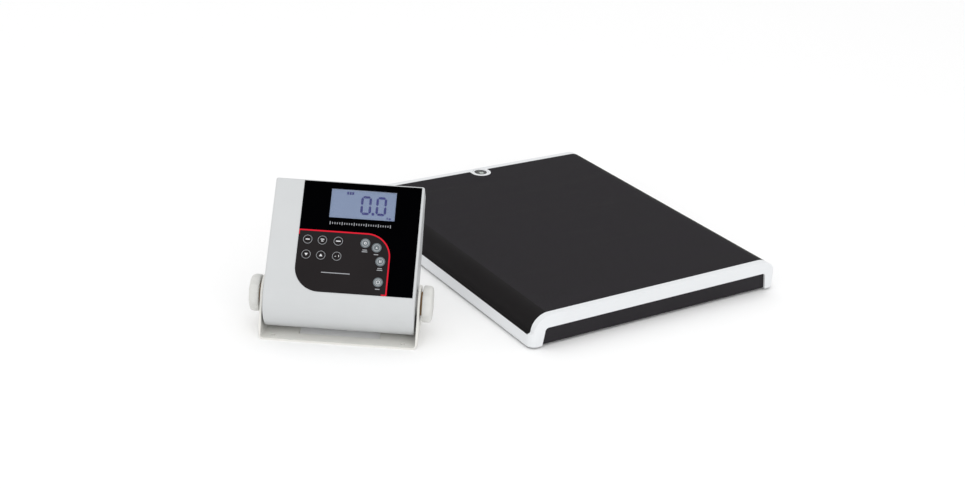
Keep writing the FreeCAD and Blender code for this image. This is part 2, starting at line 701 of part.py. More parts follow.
def front_housing():
    """The front shell with screw posts, pivot bosses, window and key holes."""
    inner_face = FACE_Z - HOUSING_WALL
    posts = []
    for post in screw_posts():
        tube = rod(3.8, Vector(post.x, post.y, -20), Vector(post.x, post.y, PARTING))
        posts.append(in_back_frame(tube))
    posts = [p.common(housing_block(HOUSING_WALL - 0.5)) for p in posts]
    bosses = []
    tools = []
    for side in SIDES.values():
        inner = Vector(side * (HOUSING_HALF_WIDTH - INSERT_DEPTH - 2), 0, 0)
        outer = Vector(side * (HOUSING_HALF_WIDTH - 1), 0, 0)
        bosses.append(rod(INSERT_R + 3, inner, outer))
        tools.append(rod(INSERT_R, Vector(side * (HOUSING_HALF_WIDTH - INSERT_DEPTH), 0, 0), outer * 1.1))
    body = fused([HOUSING_SHELL.cut(rear_half_space())] + posts + bosses)
    for post in screw_posts():
        start = Vector(post.x, post.y, PARTING - 12)
        tools.append(in_back_frame(rod(1.5, start, Vector(post.x, post.y, 60))))
    low = face_point(WINDOW_X[0], WINDOW_Y[0], inner_face - 1)
    high = face_point(WINDOW_X[1], WINDOW_Y[1], FACE_Z + 1)
    tools.append(block(low.x, high.x, low.y, high.y, low.z, high.z))
    for x, up in KEYS.values():
        tools.append(rod(KEY_R + KEY_GAP, face_point(x, up, FACE_Z - 1.5), face_point(x, up, FACE_Z + 1)))
        tools.append(rod(KEY_STEM_R + KEY_GAP, face_point(x, up, inner_face - 1), face_point(x, up)))
    return cut_by(body, tools)


def door_region(gap):
    """The part of the back wall that the battery door fills."""
    return in_back_frame(
        block(
            -DOOR_HALF_WIDTH - gap,
            DOOR_HALF_WIDTH + gap,
            DOOR_UP[0] - gap,
            DOOR_UP[1] + gap,
            LOBE_R - 8,
            LOBE_R + 10,
        )
    )


def socket_places():
    """The power socket and the platform's socket, on the back wall."""
    return {"power": Vector(-46.0, 60.0, LOBE_R), "platform": Vector(-20.0, 60.0, LOBE_R)}


def rear_housing():
    """The rear shell with the battery opening, screw holes and socket holes."""
    body = HOUSING_SHELL.common(rear_half_space())
    tools = [door_region(DOOR_GAP)]
    for post in screw_posts():
        at = Vector(post.x, post.y, LOBE_R)
        tools.append(in_back_frame(rod(1.7, at - Vector(0, 0, 10), at)))
        tools.append(in_back_frame(rod(3.4, at - Vector(0, 0, 1.5), at + Vector(0, 0, 1))))
    places = socket_places()
    for name, radius in (("power", 5.0), ("platform", 8.0)):
        at = places[name]
        tools.append(in_back_frame(rod(radius, at - Vector(0, 0, 10), at + Vector(0, 0, 1))))
    return cut_by(body, tools)


def battery_door():
    """The piece of the back wall that lifts off over the batteries."""
    return HOUSING_SHELL.common(door_region(0.0)).removeSplitter()


def housing_screws():
    """Four screws that hold the rear shell to the front one."""
    screws = []
    for post in screw_posts():
        at = Vector(post.x, post.y, LOBE_R - 1.5)
        head = rod(3.2, at, at + Vector(0, 0, 1.4))
        screws.append(in_back_frame(fused([head, rod(1.5, at - Vector(0, 0, 14), at)])))
    return Part.makeCompound(screws)


def face_overlay():
    """The printed film on the face, with holes for the window and the keys."""
    z0 = FACE_Z
    top = HOUSING_TOP - HOUSING_FILLET + 0.7
    bottom = CREASE_Y + OVERLAY_BOTTOM
    sheet = block(OVERLAY_LEFT, OVERLAY_RIGHT, bottom, top, z0, z0 + OVERLAY_THICKNESS)
    corner = [
        e
        for e in sheet.Edges
        if abs(e.CenterOfMass.x - OVERLAY_LEFT) < 0.01 and abs(e.CenterOfMass.y - bottom) < 0.01
    ]
    sheet = sheet.makeFillet(OVERLAY_CORNER_R, corner)
    low = face_point(WINDOW_X[0], WINDOW_Y[0], z0 - 1)
    high = face_point(WINDOW_X[1], WINDOW_Y[1], z0 + 1)
    tools = [block(low.x, high.x, low.y, high.y, low.z, high.z)]
    for x, up in KEYS.values():
        tools.append(rod(KEY_R + KEY_GAP, face_point(x, up, z0 - 1), face_point(x, up, z0 + 1)))
    return cut_by(sheet, tools)


def behind_window(margin, z0, z1):
    """A plate behind the window, larger than it by a margin."""
    low = face_point(WINDOW_X[0] - margin, WINDOW_Y[0] - margin, z0)
    high = face_point(WINDOW_X[1] + margin, WINDOW_Y[1] + margin, z1)
    return block(low.x, high.x, low.y, high.y, low.z, high.z)


def lcd_lens():
    """The clear window, set in the face."""
    return behind_window(-0.1, FACE_Z - HOUSING_WALL, FACE_Z + OVERLAY_THICKNESS - 0.1)


def lcd_panel():
    """The glass of the display, behind the window."""
    front = FACE_Z - HOUSING_WALL
    return behind_window(1.5, front - 2.4, front)


def lcd_backlight():
    """The lit plate behind the glass."""
    front = FACE_Z - HOUSING_WALL - 2.4
    return behind_window(1.5, front - 4.0, front)


def key(name):
    """A round cap with a stem that reaches its switch."""
    x, up = KEYS[name]
    cap = rod(KEY_R, face_point(x, up, FACE_Z - 0.8), face_point(x, up, FACE_Z + OVERLAY_THICKNESS + 0.2))
    stem = rod(KEY_STEM_R, face_point(x, up, KEY_STEM_END), face_point(x, up, FACE_Z - 0.8))
    return fused([cap, stem])


def key_switches():
    """A small square switch behind each key."""
    switches = []
    for x, up in KEYS.values():
        at = face_point(x, up, KEY_BOARD_FRONT)
        body = block(at.x - 3, at.x + 3, at.y - 3, at.y + 3, at.z, at.z + 3.2)
        plunger = rod(1.7, at + Vector(0, 0, 3.2), face_point(x, up, SWITCH_TOP))
        switches.append(fused([body, plunger]))
    return Part.makeCompound(switches)


def key_board():
    """The board that carries the switches."""
    return block(-56, 58, CREASE_Y + 8, CREASE_Y + 76, KEY_BOARD_FRONT - 1.6, KEY_BOARD_FRONT)


def main_board():
    """The main board with its processor, a connector and a round buzzer."""
    board = block(-70, 70, 30, 122, 10.0, 11.6)
    processor = block(-8, 8, 60, 76, 11.6, 13.2)
    connector = block(-60, -36, 36, 44, 11.6, 17.0)
    buzzer = Part.makeCylinder(6, 6, Vector(48, 100, 4))
    return fused([board, processor, connector, buzzer])


def cell_places():
    """Middles of the six AA cells, on the back wall's frame: two rows of three."""
    return [Vector(n * (AA_LENGTH + 0.5), y, CELL_OUT) for y in CELL_ROWS for n in (-1, 0, 1)]


def battery_tray():
    """The tray that holds the cells in two rows."""
    half_length = 1.5 * (AA_LENGTH + 0.5) + 0.1
    groove = AA_R + 0.1
    edge = groove + 1.1
    bottom = CELL_OUT - groove - 1.1
    outer = half_length + 1.7
    tray = block(-outer, outer, CELL_ROWS[0] - edge, CELL_ROWS[1] + edge, bottom, CELL_OUT + 4.5)
    rows = []
    for y in CELL_ROWS:
        start = Vector(-half_length, y, CELL_OUT)
        rows.append(rod(groove, start, start + Vector(2 * half_length, 0, 0)))
        rows.append(block(-half_length, half_length, y - groove, y + groove, CELL_OUT, CELL_OUT + 10))
    return in_back_frame(cut_by(tray, rows))


def batteries():
    """Six AA cells, each with its raised button."""
    cells = []
    button = 1.2
    for at in cell_places():
        start = at - Vector(AA_LENGTH / 2, 0, 0)
        end = at + Vector(AA_LENGTH / 2, 0, 0)
        shoulder_end = end - Vector(button, 0, 0)
        cells.append(in_back_frame(fused([rod(AA_R, start, shoulder_end), rod(2.7, shoulder_end, end)])))
    return Part.makeCompound(cells)


def power_socket():
    """The barrel socket for a mains adaptor."""
    at = socket_places()["power"]
    body = fused([rod(5, at - Vector(0, 0, 11), at), rod(6.2, at, at + Vector(0, 0, 1.2))])
    return in_back_frame(cut_by(body, [ring(2.9, 1.0, at - Vector(0, 0, 8), at + Vector(0, 0, 2))]))


def platform_socket():
    """The round multi-pin socket for the platform's lead, with a shallow recess at its mouth."""
    at = socket_places()["platform"]
    body = fused(
        [
            rod(8, at - Vector(0, 0, 11), at),
            rod(10, at, at + Vector(0, 0, 2)),
            rod(8, at + Vector(0, 0, 2), at + Vector(0, 0, 6)),
        ]
    )
    return in_back_frame(cut_by(body, [rod(6.2, at + Vector(0, 0, 4.5), at + Vector(0, 0, 7))]))


def friction_rings():
    """Rubber rings between the housing's sides and the bracket's ears."""
    rings = []
    for side in SIDES.values():
        start = Vector(side * HOUSING_HALF_WIDTH, 0, 0)
        end = Vector(side * (EAR_INNER - AXIAL_GAP), 0, 0)
        rings.append(ring(15, INSERT_R, start, end))
    return Part.makeCompound(rings)


def pivot_inserts():
    """Threaded brass inserts in the housing's sides."""
    inserts = []
    for side in SIDES.values():
        start = Vector(side * (HOUSING_HALF_WIDTH - INSERT_DEPTH), 0, 0)
        end = Vector(side * HOUSING_HALF_WIDTH, 0, 0)
        inserts.append(ring(INSERT_R, KNOB_STUD_R + SCREW_CLEARANCE, start, end))
    return Part.makeCompound(inserts)


def knob(side):
    """A domed hand knob with shallow finger flutes."""
    inner = Vector(side * KNOB_INNER, 0, 0)
    outer = Vector(side * (KNOB_INNER + KNOB_LENGTH), 0, 0)
    body = rod(KNOB_R, inner, outer)
    rims = [e for e in body.Edges if e.Closed and abs(e.CenterOfMass.x - outer.x) < 0.01]
    body = body.makeFillet(4.0, rims)
    tools = [rod(KNOB_STUD_R, inner, inner + Vector(side * KNOB_BORE_DEPTH, 0, 0))]
    for n in range(8):
        a = math.radians(45 * n)
        at = Vector(0, math.cos(a), math.sin(a)) * (KNOB_R + 5.4)
        tools.append(rod(6.5, inner + at - Vector(side, 0, 0), outer + at + Vector(side, 0, 0)))
    return cut_by(body, tools)


def knob_stud(side):
    """The steel stud moulded into a knob."""
    inner = Vector(side * (HOUSING_HALF_WIDTH - INSERT_DEPTH + 1.5), 0, 0)
    outer = Vector(side * (KNOB_INNER + KNOB_BORE_DEPTH), 0, 0)
    return rod(KNOB_STUD_R, inner, outer)


def knob_washer(side):
    """The fibre washer between a knob and its ear."""
    start = Vector(side * (BRACKET_HALF_WIDTH + AXIAL_GAP), 0, 0)
    end = start + Vector(side * WASHER_THICKNESS, 0, 0)
    return ring(WASHER_R, KNOB_STUD_R + SCREW_CLEARANCE, start, end)


# ---- the whole scale ----
def platform_nodes():
    nodes = {
        "top_cover": top_cover(),
        "platform_mat": platform_mat(),
        "level_vial": level_vial(),
        "level_fluid": level_fluid(),
        "deck_plate": deck_plate(),
        "end_panel_front": end_panel(-1),
        "end_panel_rear": end_panel(1),
        "load_cell_spacers": load_cell_spacers(),
        "load_cell_screws": load_cell_screws(),
        "deck_screws": deck_screws(),
        "junction_board": junction_board(),
        "terminal_blocks": terminal_blocks(),
        "cable_gland": cable_gland(),
    }
    for corner, (sx, sy) in CORNERS.items():
        nodes["load_cell_" + corner] = load_cell(sx, sy)
        nodes["foot_pad_" + corner] = foot_pad(sx, sy)
        nodes["foot_stud_" + corner] = foot_stud(sx, sy)
    return nodes


def housing_nodes():
    nodes = {
        "front_housing": front_housing(),
        "rear_housing": rear_housing(),
        "battery_door": battery_door(),
        "housing_screws": housing_screws(),
        "face_overlay": face_overlay(),
        "lcd_lens": lcd_lens(),
        "lcd_panel": lcd_panel(),
        "lcd_backlight": lcd_backlight(),
        "key_switches": key_switches(),
        "key_board": key_board(),
        "main_board": main_board(),
        "battery_tray": battery_tray(),
        "batteries": batteries(),
        "power_socket": power_socket(),
        "platform_socket": platform_socket(),
        "friction_rings": friction_rings(),
        "pivot_inserts": pivot_inserts(),
    }
    for name in KEYS:
        nodes[name] = key(name)
    for name, side in SIDES.items():
        nodes["knob_" + name] = knob(side)
        nodes["knob_stud_" + name] = knob_stud(side)
        nodes["knob_washer_" + name] = knob_washer(side)
    return nodes


def placed(nodes, frame):
    """The nodes of one group, moved into the frame of the whole scale."""
    out = {}
    for name, shape in nodes.items():
        moved = shape.copy()
        moved.Placement = frame.multiply(moved.Placement)
        out[name] = moved
    return out


# the whole scale's origin is under the middle of its extent from the left knob to the platform's right edge
FAR_LEFT = Vector(-(KNOB_INNER + KNOB_LENGTH), PIVOT_Y - KNOB_R, 0)
LEFT_EDGE = BRACKET_FRAME.multVec(FAR_LEFT).x
SHIFT = Vector(-(LEFT_EDGE + PLATFORM_HALF_X) / 2, 0, 0)
WHOLE = Placement(SHIFT, Rotation())
BRACKET_PLACED = WHOLE.multiply(BRACKET_FRAME)
HOUSING_PLACED = WHOLE.multiply(HOUSING_FRAME)

NODES = {}
NODES.update(placed(platform_nodes(), WHOLE))
NODES.update(placed({"bracket": bracket()}, BRACKET_PLACED))
NODES.update(placed(housing_nodes(), HOUSING_PLACED))

os.makedirs("parts", exist_ok=True)
for name, shape in NODES.items():
    shape.exportStep("parts/" + name + ".step")
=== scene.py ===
import json
import math

import bmesh
import bpy
from mathutils import Matrix, Vector


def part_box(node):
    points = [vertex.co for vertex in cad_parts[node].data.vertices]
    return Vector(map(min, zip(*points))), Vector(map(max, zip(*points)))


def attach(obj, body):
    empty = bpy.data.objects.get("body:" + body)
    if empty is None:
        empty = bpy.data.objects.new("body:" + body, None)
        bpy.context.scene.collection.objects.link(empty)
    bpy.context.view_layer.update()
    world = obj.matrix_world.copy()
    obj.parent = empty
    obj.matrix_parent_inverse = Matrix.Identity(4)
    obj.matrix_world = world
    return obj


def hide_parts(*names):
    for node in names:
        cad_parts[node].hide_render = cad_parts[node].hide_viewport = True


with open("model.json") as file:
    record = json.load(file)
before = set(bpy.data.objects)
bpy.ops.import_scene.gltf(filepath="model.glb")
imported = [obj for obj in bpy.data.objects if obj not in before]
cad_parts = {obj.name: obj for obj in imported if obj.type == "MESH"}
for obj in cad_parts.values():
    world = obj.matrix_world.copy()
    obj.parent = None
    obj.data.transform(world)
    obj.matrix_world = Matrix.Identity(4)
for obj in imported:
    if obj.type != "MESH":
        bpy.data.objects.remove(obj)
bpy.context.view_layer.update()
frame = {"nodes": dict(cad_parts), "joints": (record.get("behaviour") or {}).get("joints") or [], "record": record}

MM = 0.001


# ---- frames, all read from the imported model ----
def joint(name):
    """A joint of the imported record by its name."""
    return next(j for j in frame["joints"] if j["name"] == name)


def middle(node):
    """The middle of a CAD node's box."""
    low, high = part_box(node)
    return (low + high) / 2


def half_width(node):
    """Half of a CAD node's width along X, in millimetres."""
    low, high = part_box(node)
    return (high.x - low.x) / 2 / MM


def top_of(node):
    """The height of a CAD node's top, in millimetres."""
    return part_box(node)[1].z / MM


PIVOT = Vector(joint("indicator_tilt")["pos_m"])
RIGHT = -Vector(joint("indicator_tilt")["axis"]).normalized()
OUT = -Vector(joint("enter_key_press")["axis"]).normalized()
UP_FACE = OUT.cross(RIGHT)
Z = Vector((0, 0, 1))
BACK_OUT = Vector(joint("battery_door_lift")["axis"]).normalized()
PLATFORM = middle("deck_plate")
PLATFORM.z = 0.0


def basis(x, y, z, origin):
    """The matrix of a frame from its three axes and its origin."""
    matrix = Matrix((x, y, z)).transposed().to_4x4()
    matrix.translation = origin
    return matrix


# ---- face layout, in millimetres: x from the centre line, y up the face from the crease ----
FACE = 36.55
OVERLAY_TOP = FACE + 0.4
CREASE = -6.07
PRINT = 0.05
PRINT_TOP = OVERLAY_TOP + PRINT
SECOND_PRINT_TOP = PRINT_TOP + 0.04
FACE_FRAME = basis(RIGHT, UP_FACE, OUT, PIVOT + UP_FACE * CREASE * MM)
BACK_FRAME = basis(-RIGHT, BACK_OUT.cross(-RIGHT), BACK_OUT, PIVOT)

FIELD_LEFT = -53.3
FIELD_TOP = 75.6
FIELD_RIGHT = 54.5
FIELD_BOTTOM = 1.8
FIELD_ARC_R = 28.4
FIELD_LOW_R = 29.2
FIELD_INSET = 0.3
RED_WIDTH = 1.65
RED_HOOK = 6.5
RED_END_SHARE = 0.6

KEY_TOP = OVERLAY_TOP + 0.2
KEY_R = 5.6
KEY_HOLE_R = 5.8
DISC_KEYS = ("disc_key_1", "disc_key_2", "disc_key_3", "power_key")
RING_KEYS = ("ring_key_1", "ring_key_2", "ring_key_3", "down_key", "up_key", "enter_key")
RING_KEY_INSETS = (0.4, 0.85)
DISC_KEY_INSETS = (1.5, 2.2)
SIGN_BAR = 1.1
SIGN_BAR_OF_TWO = 0.9
ARROW_SIZE = 1.9
SMALL_ARROW_SIZE = 1.2
ARROW_FOOT_SHARE = 0.7
ARROW_TIP_SHARE = 0.9

BAR_HEIGHT = 1.0
CAPTION_DROP = 8.3
CAPTION_WIDTH = 5.2
SECOND_CAPTION_DROP = 10.4
SECOND_CAPTION_WIDTH = 6.4
TWO_CAPTION_KEYS = ("disc_key_1", "disc_key_3")
PLAIN_MARK = (-6.4, 25.0, 33.0, BAR_HEIGHT)

TICKS = 26
TICK_LEFT = -18.6
TICK_PITCH = 2.8
TICK_Y = 85.2
TICK_WIDTH = 0.9
TICK_HEIGHT = 2.3
LONG_TICK_HEIGHT = 3.8
LONG_TICK_EVERY = 5


def key_middle(name):
    """A key's place on the face, in the face's own millimetres."""
    local = FACE_FRAME.inverted() @ middle(name)
    return local.x / MM, local.y / MM


# ---- materials ----
RANGE_SPAN = (0.3, 0.7)
RAMP_SPAN = (0.32, 0.68)
GLOSS_SPAN = (0.88, 1.12)
GLOW_SPAN = (0.96, 1.03)
HAZE = (0.03, 0.06)
COARSE_DETAIL = 4.0
FINE_DETAIL = 2.0
BUMP_STRENGTH = 0.5
GLOW_NOISE_SCALE = 18.0
UNLIT_SHARE = 0.25
HAZE_NOISE_SCALE = 60.0
CLEAR_IOR = 1.3


def linear(red, green, blue):
    """An sRGB colour, 0 to 255, as linear RGBA."""
    out = []
    for value in (red, green, blue):
        c = value / 255
        out.append(c / 12.92 if c <= 0.04045 else ((c + 0.055) / 1.055) ** 2.4)
    return (*out, 1.0)


def scaled(colour, factor):
    """A colour made lighter or darker."""
    return (*(min(1.0, c * factor) for c in colour[:3]), 1.0)


def new_material(name):
    """A node material with its nodes, links and shader at hand."""
    material = bpy.data.materials.new(name)
    material.use_nodes = True
    nodes = material.node_tree.nodes
    return material, nodes, material.node_tree.links, nodes["Principled BSDF"]


def noise(nodes, links, scale, detail=3.0, stretch=(1, 1, 1)):
    """Noise in object space, stretched along any axis."""
    place = nodes.new("ShaderNodeTexCoord")
    mapping = nodes.new("ShaderNodeMapping")
    mapping.inputs["Scale"].default_value = stretch
    texture = nodes.new("ShaderNodeTexNoise")
    texture.inputs["Scale"].default_value = scale
    texture.inputs["Detail"].default_value = detail
    links.new(place.outputs["Object"], mapping.inputs["Vector"])
    links.new(mapping.outputs["Vector"], texture.inputs["Vector"])
    return texture.outputs["Fac"]


def ranged(nodes, links, value, low, high):
    """Noise, mapped to a range of numbers."""
    node = nodes.new("ShaderNodeMapRange")
    node.inputs["From Min"].default_value = RANGE_SPAN[0]
    node.inputs["From Max"].default_value = RANGE_SPAN[1]
    node.inputs["To Min"].default_value = low
    node.inputs["To Max"].default_value = high
    links.new(value, node.inputs["Value"])
    return node.outputs["Result"]


def mixed(nodes, links, value, first, second):
    """Two colours mixed by noise."""
    ramp = nodes.new("ShaderNodeValToRGB")
    for element, position, colour in zip(ramp.color_ramp.elements, RAMP_SPAN, (first, second)):
        element.position = position
        element.color = colour
    links.new(value, ramp.inputs["Fac"])
    return ramp.outputs["Color"]


def finish(
    name,
    srgb,
    roughness,
    grain,
    depth,
    variation,
    metallic=0.0,
    coat=0.0,
    stretch=(1, 1, 1),
    patch=0.05,
    specular=0.5,
):
    """A procedural surface: patchy colour and gloss over a fine grain, all sizes in metres."""
    material, nodes, links, shader = new_material(name)
    colour = linear(*srgb)
    coarse = noise(nodes, links, 1 / patch, COARSE_DETAIL, stretch)
    fine = noise(nodes, links, 1 / grain, FINE_DETAIL, stretch)
    tone = mixed(nodes, links, coarse, scaled(colour, 1 - variation), scaled(colour, 1 + variation))
    links.new(tone, shader.inputs["Base Color"])
    gloss = ranged(nodes, links, coarse, roughness * GLOSS_SPAN[0], roughness * GLOSS_SPAN[1])
    links.new(gloss, shader.inputs["Roughness"])
    bump = nodes.new("ShaderNodeBump")
    bump.inputs["Strength"].default_value = BUMP_STRENGTH
    bump.inputs["Distance"].default_value = depth
    links.new(fine, bump.inputs["Height"])
    links.new(bump.outputs["Normal"], shader.inputs["Normal"])
    shader.inputs["Metallic"].default_value = metallic
    shader.inputs["Coat Weight"].default_value = coat
    shader.inputs["Specular IOR Level"].default_value = specular
    return material


def lit(name, srgb, strength):
    """A lit surface, a little uneven, as a diffused backlight is."""
    material, nodes, links, shader = new_material(name)
    colour = linear(*srgb)
    glow = [scaled(colour, factor) for factor in GLOW_SPAN]
    tone = mixed(nodes, links, noise(nodes, links, GLOW_NOISE_SCALE), *glow)
    links.new(tone, shader.inputs["Emission Color"])
    shader.inputs["Base Color"].default_value = scaled(colour, UNLIT_SHARE)
    shader.inputs["Emission Strength"].default_value = strength
    shader.inputs["Roughness"].default_value = 0.5
    return material


def clear(name, srgb):
    """Clear plastic with a faint haze."""
    material, nodes, links, shader = new_material(name)
    haze = ranged(nodes, links, noise(nodes, links, HAZE_NOISE_SCALE), *HAZE)
    links.new(haze, shader.inputs["Roughness"])
    shader.inputs["Base Color"].default_value = linear(*srgb)
    shader.inputs["Transmission Weight"].default_value = 1.0
    shader.inputs["IOR"].default_value = CLEAR_IOR
    return material


# Per material: sRGB colour, roughness, grain size and bump depth in metres, colour variation, other settings.
FINISHES = {
    "cover_white": ((222, 224, 226), 0.4, 0.0012, 0.00002, 0.015, {"specular": 0.3}),
    "mat_rubber": (
        (39, 37, 40), 0.7, 0.0009, 0.00008, 0.14,
        {"stretch": (0.12, 1, 1), "patch": 0.02, "specular": 0.08},
    ),
    # Painted shade: the mat's rolled sides get a darker copy of the mat's rubber for the shade they fall into.
    "mat_shoulder_painted_shade": ((24, 22, 23), 0.6, 0.0009, 0.00004, 0.12, {"specular": 0.08}),
    "level_fluid": ((234, 240, 234), 0.2, 0.002, 0.00001, 0.02, {"coat": 0.4}),
    "bubble_pale": ((240, 246, 238), 0.15, 0.002, 0.00001, 0.03, {"coat": 0.6}),
    "level_ring": ((172, 178, 178), 0.4, 0.0008, 0.00001, 0.08, {}),
    "steel_plate": ((140, 142, 146), 0.42, 0.0015, 0.00002, 0.08, {"metallic": 0.9}),
    "panel_dark": ((38, 36, 39), 0.5, 0.0006, 0.00002, 0.10, {"specular": 0.1}),
    "cell_aluminium": (
        (196, 198, 200), 0.34, 0.0006, 0.00002, 0.06,
        {"metallic": 1.0, "stretch": (0.1, 1, 1)},
    ),
    "screw_steel": ((176, 178, 180), 0.3, 0.0005, 0.00001, 0.06, {"metallic": 1.0}),
    "board_green": ((20, 92, 52), 0.4, 0.002, 0.00003, 0.15, {}),
    "terminal_plastic": ((32, 124, 66), 0.45, 0.0008, 0.00002, 0.08, {}),
    "gland_black": ((26, 26, 27), 0.45, 0.0006, 0.00004, 0.12, {}),
    "foot_rubber": ((36, 35, 35), 0.75, 0.0007, 0.00008, 0.15, {}),
    "bracket_white": ((221, 220, 215), 0.42, 0.0007, 0.00005, 0.02, {"specular": 0.3}),
    "housing_white": ((197, 199, 200), 0.42, 0.0006, 0.00003, 0.015, {"specular": 0.35}),
    "overlay_black": ((2, 2, 3), 0.35, 0.0008, 0.00001, 0.12, {"specular": 0.0}),
    "battery_can": ((60, 62, 68), 0.35, 0.001, 0.00001, 0.1, {"metallic": 0.6}),
    "socket_metal": ((190, 190, 192), 0.25, 0.0005, 0.00001, 0.05, {"metallic": 1.0}),
    "ring_rubber": ((202, 202, 200), 0.7, 0.0006, 0.00005, 0.05, {}),
    "insert_brass": ((200, 160, 90), 0.3, 0.0005, 0.00001, 0.06, {"metallic": 1.0}),
    "key_dark": ((31, 28, 29), 0.4, 0.0007, 0.00001, 0.1, {"specular": 0.05}),
    "key_grey": ((104, 112, 116), 0.45, 0.0007, 0.00001, 0.06, {"specular": 0.1}),
    "knob_white": ((207, 207, 204), 0.45, 0.0007, 0.00004, 0.02, {"specular": 0.3}),
    "fibre_brown": ((156, 122, 84), 0.75, 0.0008, 0.00008, 0.18, {}),
    "field_grey": ((33, 30, 31), 0.4, 0.0008, 0.00001, 0.08, {"specular": 0.05}),
    "print_red": ((208, 22, 44), 0.5, 0.0008, 0.00001, 0.05, {"specular": 0.1}),
    "print_white": ((222, 222, 224), 0.45, 0.0008, 0.00001, 0.05, {}),
    "print_ring": ((158, 160, 163), 0.5, 0.0008, 0.00001, 0.05, {"specular": 0.1}),
    "print_soft": ((150, 152, 156), 0.45, 0.0008, 0.00001, 0.05, {}),
    "digit_blue": ((18, 18, 122), 0.5, 0.0008, 0.00001, 0.06, {}),
    "floor_pale": ((250, 250, 250), 0.85, 0.01, 0.0001, 0.005, {"patch": 2.0, "specular": 0.1}),
}
MATERIALS = {name: finish(name, *values, **others) for name, (*values, others) in FINISHES.items()}
MATERIALS["vial_clear"] = clear("vial_clear", (240, 246, 244))
MATERIALS["lens_clear"] = clear("lens_clear", (240, 245, 252))
MATERIALS["lcd_glass"] = lit("lcd_glass", (146, 161, 190), 0.55)
MATERIALS["backlight_white"] = lit("backlight_white", (214, 222, 234), 0.3)


def dress_nodes():
    """Every CAD node gets the material of its slot."""
    for subpart in frame["record"]["subparts"]:
        mesh = frame["nodes"][subpart["node"]].data
        mesh.materials.clear()
        mesh.materials.append(MATERIALS[subpart["material_slot"]])


# ---- pieces ----
def link(obj):
    """Puts an object into the scene."""
    bpy.context.scene.collection.objects.link(obj)
    return obj


def evaluated_mesh(obj):
    """A new mesh from an object's curve or modifiers."""
    return bpy.data.meshes.new_from_object(obj.evaluated_get(bpy.context.evaluated_depsgraph_get()))


def mesh_from(bm, name):
    """A mesh from a bmesh with its faces turned outwards, and the bmesh freed."""
    bmesh.ops.recalc_face_normals(bm, faces=bm.faces)
    mesh = bpy.data.meshes.new(name)
    bm.to_mesh(mesh)
    bm.free()
    return mesh


def piece(name, mesh, material, body):
    """A new object that rides on a body and takes a slot's finish."""
    mesh.materials.clear()
    mesh.materials.append(MATERIALS[material])
    obj = link(bpy.data.objects.new(name, mesh))
    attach(obj, body)
    return obj


def circle(x, y, radius, count=48):
    """Points round a circle."""
    angles = [2 * math.pi * n / count for n in range(count)]
    return [(x + radius * math.cos(a), y + radius * math.sin(a)) for a in angles]


def arc(x, y, radius, start, end, count=16):
    """Points along an arc, angles in degrees."""
    angles = [math.radians(start + (end - start) * n / count) for n in range(count + 1)]
    return [(x + radius * math.cos(a), y + radius * math.sin(a)) for a in angles]


def bar(x, y, width, height):
    """A box outline about a point."""
    return [
        (x - width / 2, y - height / 2),
        (x + width / 2, y - height / 2),
        (x + width / 2, y + height / 2),
        (x - width / 2, y + height / 2),
    ]


def plate(name, outlines, bottom, top, matrix, material, body, bevel=0.0):
    """A flat piece cut to outlines, in millimetres on a frame; an outline inside another is a hole."""
    curve = bpy.data.curves.new(name, "CURVE")
    curve.dimensions = "2D"
    curve.fill_mode = "BOTH"
    curve.extrude = (top - bottom) / 2 * MM - bevel * MM
    curve.bevel_depth = bevel * MM
    curve.offset = -bevel * MM
    curve.bevel_resolution = 2
    for outline in outlines:
        spline = curve.splines.new("POLY")
        spline.points.add(len(outline) - 1)
        for point, (x, y) in zip(spline.points, outline):
            point.co = (x * MM, y * MM, 0, 1)
        spline.use_cyclic_u = True
    holder = link(bpy.data.objects.new(name + "_outline", curve))
    mesh = evaluated_mesh(holder)
    bpy.data.objects.remove(holder)
    bpy.data.curves.remove(curve)
    mesh.name = name
    mesh.transform(matrix @ Matrix.Translation((0, 0, (top + bottom) / 2 * MM)))
    return piece(name, mesh, material, body)


def print_on_face(name, outlines, material, top=PRINT_TOP):
    """A printed layer on the overlay."""
    plate(name, outlines, OVERLAY_TOP, top, FACE_FRAME, material, "indicator")


def turned(name, profile, matrix, material, body, count, shape=None):
    """A piece turned from a profile of (radius, height) in millimetres about a frame's Z axis."""
    bm = bmesh.new()
    rings = []
    for radius, height in profile:
        ring = []
        for n in range(count):
            angle = 2 * math.pi * n / count
            reach = radius * (shape(angle, radius) if shape else 1.0)
            x, y = reach * math.cos(angle), reach * math.sin(angle)
            ring.append(bm.verts.new((x * MM, y * MM, height * MM)))
        rings.append(ring)
    for low, high in zip(rings, rings[1:]):
        for n in range(count):
            after = (n + 1) % count
            bm.faces.new((low[n], low[after], high[after], high[n]))
    bm.faces.new(list(reversed(rings[0])))
    bm.faces.new(rings[-1])
    mesh = mesh_from(bm, name)
    for polygon in mesh.polygons:
        polygon.use_smooth = len(polygon.vertices) == 4
    mesh.transform(matrix)
    return piece(name, mesh, material, body)


# ---- printed face ----
def field_outline(inset):
    """The control field's edge: straight left side, large round corner above right and below left."""
    left = FIELD_LEFT + inset
    right = FIELD_RIGHT - inset
    top = FIELD_TOP - inset
    bottom = FIELD_BOTTOM + inset
    high_r = FIELD_ARC_R - inset
    low_r = FIELD_LOW_R - inset
    return (
        [(left, top)]
        + arc(left + low_r, bottom + low_r, low_r, 180, 270)
        + [(right, bottom)]
        + arc(right - high_r, top - high_r, high_r, 0, 90)
    )


